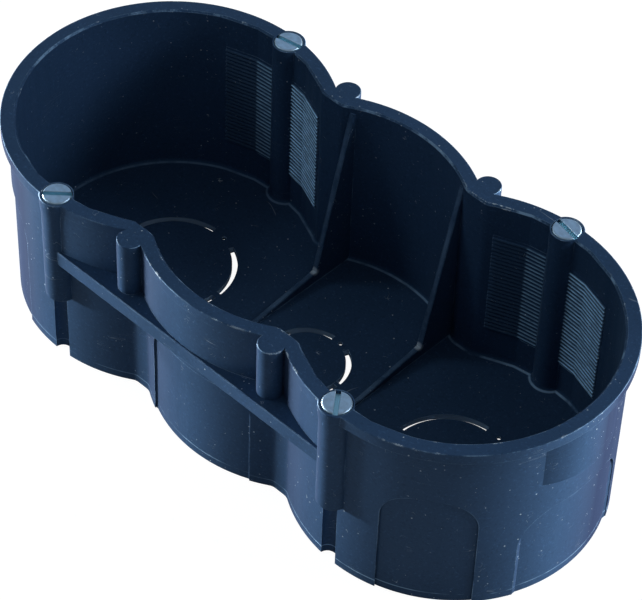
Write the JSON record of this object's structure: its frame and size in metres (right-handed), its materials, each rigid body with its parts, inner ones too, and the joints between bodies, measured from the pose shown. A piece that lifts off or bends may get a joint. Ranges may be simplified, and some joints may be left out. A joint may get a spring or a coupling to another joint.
{
  "type": "flush back box",
  "caption": "Moulded flush back box with a row of round compartments, stiffening shelves, knock-outs and device screws.",
  "frame": {"origin": "middle of the base, on the surface that the box stands on", "axes": "+X along the row of compartments, +Y across it, +Z out of the open mouth"},
  "size_m": [0.1376, 0.0666, 0.0422],
  "materials": {
    "moulding": "dark navy moulded plastic with a soft sheen",
    "zinc_screw": "bright zinc plate with a cool blue tint"
  },
  "bodies": {
    "root": {"back_box": "moulding", "device_screw_front_left": "zinc_screw", "device_screw_front_right": "zinc_screw", "device_screw_rear_left": "zinc_screw", "device_screw_rear_right": "zinc_screw"}
  },
  "joints": []
}
